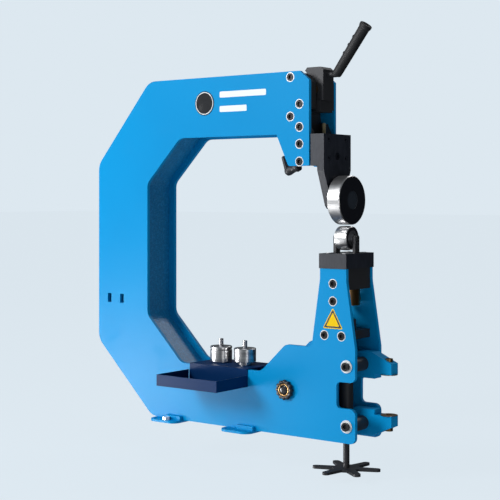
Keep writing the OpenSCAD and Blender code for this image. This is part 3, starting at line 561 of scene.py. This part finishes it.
NODE_FINISHES = {
    "azure_powder_coat": ["right_side_plate", "left_side_plate", "outer_skin", "rear_foot",
                          "front_foot", "hinge_arms"],
    "deep_azure_coat": ["throat_liner", "shoulder_web"],
    "navy_tray_coat": ["tool_tray"],
    "black_oxide": ["ram_guide_block", "nut_block", "spindle_tube", "arm_spacers", "cam_bearing_blocks",
                    "guide_back_block", "guide_rails", "cam_lever_hub", "upper_ram", "spindle", "star_wheel",
                    "fork_legs", "clamp_lever", "lever_rod"],
    "black_bracket": ["tower_cap", "slide_block", "wheel_bracket", "bracket_screws", "ram_bolt"],
    "black_screw": ["tower_screws", "jaw_screws", "arm_bolts"],
    "ground_upper_wheel": ["upper_wheel"],
    "ground_lower_wheel": ["lower_wheel"],
    "black_wheel_cap": ["upper_hub_cap"],
    "bright_steel": ["lower_ram", "lower_axle", "upper_axle", "cam_pin"],
    "dark_steel": ["upper_wheel_bearings", "lower_wheel_bearings", "thrust_ball",
                   "crowned_roller_axle", "flat_roller_axle", "return_springs"],
    "turned_roller": ["crowned_roller", "flat_roller"],
    "bearing_bronze": ["ram_bush", "spindle_nut", "arm_bushes", "cam_thrust_washers", "grip_end_plug"],
    "brass_stud": ["height_stud"],
    "zinc_plate": ["screw_washers", "levelling_screws", "cap_screws", "fork_screws"],
    "grip_rubber": ["lever_grip"],
    "moulded_plastic": ["star_knob"],
    "badge_enamel": ["badge"],
}


def grip():
    """The grip's sizes in the panel."""
    return bpy.context.scene.grip_sizes


def decals():
    """The decals' sizes and colours in the panel."""
    return bpy.context.scene.decal_sizes


def studio():
    """The stage's settings in the panel."""
    return bpy.context.scene.studio_settings


# ---- operators --------------------------------------------------------------------


class WHEELING_OT_frame_finishes(bpy.types.Operator):
    """Give every node of the frame its paint, metal, rubber or plastic"""

    bl_idname = "wheeling.frame_finishes"
    bl_label = "Frame finishes"

    def execute(self, context):
        for finish, nodes in NODE_FINISHES.items():
            for node in nodes:
                mesh = frame["nodes"][node].data
                mesh.materials.clear()
                mesh.materials.append(finish_for(finish))
        return {"FINISHED"}


class WHEELING_OT_lever_grip(bpy.types.Operator):
    """Make the ribbed rubber grip with its slanted foot, finger nubs and end flange"""

    bl_idname = "wheeling.lever_grip"
    bl_label = "Lever grip"

    # The radius is a taper, plus ribs along the grip (a power of a sine), flutes round it (a cosine),
    # nubs on its back (steep bells) and a flange at its end (a bell), less a chamfer.
    def execute(self, context):
        size = grip()
        plug = middle("grip_end_plug")
        low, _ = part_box("lever_grip")
        direction = np.array([math.sin(size.tilt), 0, math.cos(size.tilt)])
        end = plug + direction * 6 * MM
        reach = (end[2] - low[2]) / direction[2]
        rings, sides = 200, 72
        angle = np.linspace(0, 2 * np.pi, sides, endpoint=False)
        back = -np.sin(angle)
        start = -reach + 4 * MM + 9 * MM * (1 + back) / 2
        share = np.linspace(0, 1, rings)[:, None]
        along = start[None] * (1 - share)
        taper = size.inner_radius + (size.outer_radius - size.inner_radius) * share
        rib = 0.35 * MM * np.abs(np.sin(np.pi * along / size.rib_pitch)) ** 0.6
        flute = 0.12 * MM * np.cos(24 * angle)[None]
        quiet = np.clip((share - 0.03) / 0.03, 0, 1) * np.clip((0.93 - share) / 0.03, 0, 1)
        radius = taper + (rib + flute) * quiet
        flange = np.exp(-((np.minimum(along + 5 * MM, 0)) / (4 * MM)) ** 2)
        radius = radius + (size.flange - size.outer_radius) * flange
        radius = radius - 1.2 * MM * np.clip((along + 1 * MM) / MM, 0, 1)
        for place in np.linspace(-reach * 0.55, -reach * 0.26, size.nubs):
            bump = np.exp(-((along - place) / (3.0 * MM)) ** 4) * np.clip(-back, 0, 1)[None] ** 8
            radius = radius + 2.6 * MM * bump
        radius = radius * np.clip(share / 0.012, 0.86, 1)
        skin = turned_rings(end, direction, along, radius)
        rim = turned_rings(end, direction, np.zeros((1, sides)), np.full((1, sides), 7.2 * MM))
        socket = turned_rings(end, direction, np.full((1, sides), -5 * MM), np.full((1, sides), 7.0 * MM))
        piece = new_piece("rubber_grip", *closed_skin(np.concatenate([skin, rim, socket])),
                          "grip_rubber", "cam_lever", "black_rubber")
        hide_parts("lever_grip")
        return {"FINISHED"}


class WHEELING_OT_height_stud(bpy.types.Operator):
    """Cut the height stud's thread as a helical wave of its radius"""

    bl_idname = "wheeling.height_stud"
    bl_label = "Threaded stud"

    def execute(self, context):
        low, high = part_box("height_stud")
        centre = middle("height_stud")
        length, pitch, sides, rings_per_turn = high[2] - low[2], 1.25 * MM, 32, 10
        rings = int(length / pitch * rings_per_turn)
        angle = np.linspace(0, 2 * np.pi, sides, endpoint=False)
        along = np.linspace(0, length, rings)[:, None] * np.ones((1, sides))
        wave = 0.5 + 0.5 * np.cos(2 * np.pi * along / pitch - angle[None])
        end_taper = np.clip((length - along) / (1.2 * MM), 0.7, 1)
        radius = (4.0 * MM - 0.55 * MM * wave) * end_taper
        foot = (centre[0], centre[1], low[2])
        piece = new_piece("threaded_stud", *closed_skin(turned_rings(foot, (0, 0, 1), along, radius)),
                          "brass_stud", "upper_ram", "bronze")
        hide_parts("height_stud")
        return {"FINISHED"}


class WHEELING_OT_star_knob(bpy.types.Operator):
    """Make the lobed knob with its bronze ring, black centre and stud"""

    bl_idname = "wheeling.star_knob"
    bl_label = "Star knob"

    # The body is a turned profile of (along, radius) pairs in millimetres, whose radius also waves
    # with the cosine of the angle times the number of lobes, fully at the rim and not at the face.
    def execute(self, context):
        low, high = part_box("star_knob")
        centre = middle("star_knob")
        out = (0, -1, 0)
        face = (centre[0], low[1], centre[2])
        rim = (high[0] - low[0]) / 2
        wave, lobes, sides = 2.4 * MM, 12, 192
        angle = np.linspace(0, 2 * np.pi, sides, endpoint=False)
        profile = np.array([
            (-(high[1] - low[1]) / MM, 4.6), (-(high[1] - low[1]) / MM + 1, 5.0), (-9, 5.0), (-9, 17.0),
            (-8.6, 18.6), (-7.8, 19.3), (-6, 19.6), (-2.6, 19.6), (-1.2, 19.1), (-0.4, 17.9), (0, 16.0),
            (-0.1, 14.2), (-0.8, 13.6), (-2.8, 13.4)]) * MM
        lobe = np.clip((profile[:, 1] - 13.6 * MM) / (5.5 * MM), 0, 1)[:, None]
        waves = wave * (np.cos(lobes * angle)[None] - 1) * 0.5
        radius = profile[:, 1:] + lobe * (rim - 19.6 * MM + waves)
        along = profile[:, :1] * np.ones((1, sides))
        piece = new_piece("lobed_knob", *closed_skin(turned_rings(face, out, along, radius)),
                          "moulded_plastic", "star_knob", "black_plastic")
        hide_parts("star_knob")
        ring = ring_shell(face, out, np.array([(-2.8, 9.6), (-1.6, 9.8), (-0.8, 10.6), (-0.6, 12.0),
                                               (-1.0, 13.1), (-2.8, 13.3)]) * MM)
        new_piece("knob_ring", *ring, "bearing_bronze", "star_knob", "bronze")
        button = lathe(face, out, np.array([(-2.8, 9.5), (-1.9, 9.2), (-1.5, 8.4), (-1.3, 6.0),
                                            (-1.2, 0.3)]) * MM)
        new_piece("knob_button", *button, "badge_enamel", "star_knob", "black_plastic")
        return {"FINISHED"}


class WHEELING_OT_clamp_lever(bpy.types.Operator):
    """Make the clamp lever: a turned hub on its stud and a tapered arm with round ends"""

    bl_idname = "wheeling.clamp_lever"
    bl_label = "Clamp lever"

    # The arm's sections are ellipses on a straight path from the hub's end to the tip, which narrow
    # evenly and close over each end as a circle does.
    def execute(self, context):
        joint = next(j for j in frame["joints"] if j["name"] == "clamp_lever_turn")
        base, out = np.array(joint["pos_m"]), np.array(joint["axis"])
        hub = lathe(base, out, np.array([
            (-6.3, 3.8), (-5.8, 4.0), (13, 4.0), (13, 10.2), (13.8, 11.3), (15, 11.5), (20.6, 11.5),
            (21.6, 10.8), (22.4, 9.2), (33, 9.1), (37, 9.8), (42, 9.6), (46, 8.4), (48.4, 5.6),
            (49, 1.0)]) * MM)
        low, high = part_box("clamp_lever")
        elbow = base + out * 43 * MM
        tip = np.array([low[0] + 5.5 * MM, 0, high[2] - 1.5 * MM])
        share = np.linspace(-0.16, 1, 44)
        path = elbow + (tip - elbow) * share[:, None]
        width = (7.6 - 1.8 * share) * MM
        past_tip, past_hub = ((share - 0.88) / 0.12).clip(0, 1), (-share / 0.17).clip(0, 1)
        cap = np.sqrt(np.clip(1 - past_tip ** 2 - past_hub ** 2, 0.02, 1))
        direction, across, up = basis(tip - elbow)
        angle = np.linspace(0, 2 * np.pi, 32, endpoint=False)
        spoke = np.cos(angle)[:, None] * across + np.sin(angle)[:, None] * up * 0.8
        arm = path[:, None] + (width * cap)[:, None, None] * spoke[None]
        piece = new_piece("clamp_handle", *joined(hub, closed_skin(arm)), "black_oxide",
                          "clamp_lever", "black_oxide")
        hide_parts("clamp_lever")
        return {"FINISHED"}


class WHEELING_OT_decals(bpy.types.Operator):
    """Lay the plain triangle, the plain bars and the badge's ring on the right-hand plate"""

    bl_idname = "wheeling.decals"
    bl_label = "Plain decals"

    def execute(self, context):
        thick = decals().film
        plate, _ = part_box("right_side_plate")
        outside = plate[1]
        screws = middle("lower_wheel")[0]
        base = plate[2] + 227 * MM
        corners = np.array([(screws - 24.0 * MM, base), (screws + 24.0 * MM, base),
                            (screws, base + 42 * MM)])
        centre = corners.mean(0)
        outer = round_corners(corners, 2.0 * MM)
        edge = round_corners(centre + (corners - centre) * 0.88, 1.6 * MM)
        inner = round_corners(centre + (corners - centre) * 0.66, 1.0 * MM)
        new_piece("warning_triangle", *film_shell(outer, outside, thick), "yellow_film", "frame",
                  "azure_paint", smooth=False)
        new_piece("warning_border", *frame_shell(edge, inner, outside - thick, thick * 0.4), "dark_film",
                  "frame", "azure_paint", smooth=False)
        badge_low, badge_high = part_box("badge")
        badge = middle("badge")
        rim = badge_high[0] - badge[0]
        ring = ring_shell((badge[0], badge_low[1], badge[2]), (0, -1, 0),
                          [(0, rim - 3.2 * MM), (0.15 * MM, rim - 3.2 * MM), (0.15 * MM, rim - 1.6 * MM),
                           (0, rim - 1.6 * MM)], sides=96)
        new_piece("badge_ring", *ring, "white_film", "frame", "azure_paint", smooth=False)
        bars = [((42, 166), (10.5, 23.5)), ((42, 115), (-20.5, -7.5))]
        shells = []
        for (x0, x1), (z0, z1) in bars:
            outline = np.array([(x0, z0), (x1, z0), (x1, z1), (x0, z1)]) * MM + badge[[0, 2]]
            shells.append(film_shell(round_corners(outline, 2.5 * MM), outside, thick))
        new_piece("plain_bars", *joined(*shells), "white_film", "frame", "azure_paint", smooth=False)
        return {"FINISHED"}


class WHEELING_OT_stage(bpy.types.Operator):
    """Set up the pale floor, the soft light and the camera"""

    bl_idname = "wheeling.stage"
    bl_label = "Stage"

    def execute(self, context):
        look = studio()
        scene = context.scene
        scene.view_settings.view_transform = "Standard"
        colour = (*look.backdrop, 1)
        floor_mesh = bpy.data.meshes.new("floor")
        spindle_drop = 14 * MM                     # room for the star wheel at its lowest
        reach, under = 30.0, CAD_LOW[2] - spindle_drop
        floor_mesh.from_pydata([(-reach, -reach, under), (reach, -reach, under), (reach, reach, under),
                                (-reach, reach, under)], [], [(0, 1, 2, 3)])
        made = bpy.data.materials.new("pale_floor")
        made.use_nodes = True
        tree = made.node_tree
        tree.nodes.clear()
        seen = add(tree, "ShaderNodeLightPath")
        level = add(tree, "ShaderNodeMapRange", To_Min=look.bounce, To_Max=1.02)
        glow = add(tree, "ShaderNodeEmission", Color=colour)
        wire(tree, seen.outputs["Is Camera Ray"], level.inputs["Value"])
        wire(tree, level.outputs["Result"], glow.inputs["Strength"])
        dull = add(tree, "ShaderNodeBsdfDiffuse", Color=colour)
        blend = add(tree, "ShaderNodeMixShader", Fac=0.06)
        out = add(tree, "ShaderNodeOutputMaterial")
        wire(tree, glow.outputs[0], blend.inputs[1])
        wire(tree, dull.outputs[0], blend.inputs[2])
        wire(tree, blend.outputs[0], out.inputs["Surface"])
        floor_mesh.materials.append(made)
        floor = bpy.data.objects.new("floor", floor_mesh)
        context.collection.objects.link(floor)
        floor.visible_shadow = False
        floor.visible_glossy = False
        self.light_sky(scene, colour)
        self.light_lamps(context, look)
        self.place_camera(context, look)
        return {"FINISHED"}

    def light_sky(self, scene, colour):
        """A plain backdrop for the eye; for the light, brighter on the left than on the right."""
        sky = bpy.data.worlds.new("studio")
        sky.use_nodes = True
        scene.world = sky
        tree = sky.node_tree
        tree.nodes.clear()
        place = add(tree, "ShaderNodeTexCoord")
        side = add(tree, "ShaderNodeVectorMath", operation="DOT_PRODUCT")
        side.inputs[1].default_value = (-0.62, -0.70, 0.35)
        span = add(tree, "ShaderNodeMapRange", interpolation_type="SMOOTHSTEP", From_Min=-1.0, From_Max=0.9,
                   To_Min=0.015, To_Max=0.30)
        seen = add(tree, "ShaderNodeLightPath")
        pick = add(tree, "ShaderNodeMix", data_type="FLOAT")
        pick.inputs["B"].default_value = 1.0
        glow = add(tree, "ShaderNodeBackground", Color=colour)
        out = add(tree, "ShaderNodeOutputWorld")
        wire(tree, place.outputs["Generated"], side.inputs[0])
        wire(tree, side.outputs["Value"], span.inputs["Value"])
        wire(tree, seen.outputs["Is Camera Ray"], pick.inputs["Factor"])
        wire(tree, span.outputs["Result"], pick.inputs["A"])
        wire(tree, pick.outputs["Result"], glow.inputs["Strength"])
        wire(tree, glow.outputs[0], out.inputs["Surface"])

    def light_lamps(self, context, look):
        """A soft key from the left, low lights on the column, one above, one before the mouth, one behind."""
        lamps = (
            ("key", look.key, 1.8, (-1.75, -3.9, 2.2), (0.05, 0, 0.35)),
            ("column_wash", 6.0, 0.5, (-0.85, -0.75, -0.03), (-0.2, -0.05, 0.1)),
            ("column_sheen", 9.0, 0.3, (-0.80, -0.72, -0.10), (-0.25, -0.05, 0.05)),
            ("top_wash", 8.0, 1.2, (0.5, -0.4, 2.6), (0.1, 0, 0.2)),
            ("mouth_fill", 3.0, 0.6, (2.2, -1.3, 0.1), (0.36, 0, 0.25)),
            ("back_light", 0.35, None, (0.24, 1.5, 1.6), (0, 0, 0.3)),
        )
        for name, energy, size, at, aim in lamps:
            data = bpy.data.lights.new(name, "AREA" if size else "SUN")
            data.energy = energy
            if size:
                data.shape, data.size = "DISK", size
            else:
                data.angle = math.radians(20)
            made = bpy.data.objects.new(name, data)
            context.collection.objects.link(made)
            made.location = at
            made.rotation_mode = "QUATERNION"
            made.rotation_quaternion = Vector(np.array(aim) - np.array(at)).to_track_quat("-Z", "Y")
            made.visible_diffuse = name != "column_sheen"

    def place_camera(self, context, look):
        """A level camera in front of the mouth, looking back along the right-hand plate."""
        data = bpy.data.cameras.new("camera")
        data.sensor_width = 36.0
        data.lens = look.focal_length
        data.shift_y = -0.1108
        camera = bpy.data.objects.new("camera", data)
        context.collection.objects.link(camera)
        camera.location = (1.7398, -2.1295, 0.5012)
        camera.rotation_euler = (math.radians(90), 0, look.heading)
        context.scene.camera = camera


class WHEELING_PT_panel(bpy.types.Panel):
    """Lists the machine's operators and sizes in the sidebar"""

    bl_idname = "WHEELING_PT_panel"
    bl_label = "Wheeling machine"
    bl_space_type = "VIEW_3D"
    bl_region_type = "UI"
    bl_category = "Wheeling"

    def draw(self, context):
        """One button an operator, then every size and colour."""
        for operator in OPERATORS:
            self.layout.operator(operator.bl_idname)
        for group in (grip(), decals(), studio()):
            for name in group.bl_rna.properties.keys():
                if name not in ("rna_type", "name"):
                    self.layout.prop(group, name)


OPERATORS = (
    WHEELING_OT_stage,
    WHEELING_OT_frame_finishes,
    WHEELING_OT_lever_grip,
    WHEELING_OT_height_stud,
    WHEELING_OT_star_knob,
    WHEELING_OT_clamp_lever,
    WHEELING_OT_decals,
)
CLASSES = (GripSizes, DecalSizes, StudioSettings, *OPERATORS, WHEELING_PT_panel)


def register():
    """Adds the classes, and their settings to the scene."""
    for made in CLASSES:
        bpy.utils.register_class(made)
    bpy.types.Scene.grip_sizes = PointerProperty(type=GripSizes)
    bpy.types.Scene.decal_sizes = PointerProperty(type=DecalSizes)
    bpy.types.Scene.studio_settings = PointerProperty(type=StudioSettings)


def unregister():
    """Takes the settings and the classes away again."""
    del bpy.types.Scene.grip_sizes
    del bpy.types.Scene.decal_sizes
    del bpy.types.Scene.studio_settings
    for made in reversed(CLASSES):
        bpy.utils.unregister_class(made)


def main():
    """Builds every piece."""
    register()
    for operator in OPERATORS:
        category, name = operator.bl_idname.split(".")
        getattr(getattr(bpy.ops, category), name)()


if __name__ == "__main__":
    main()
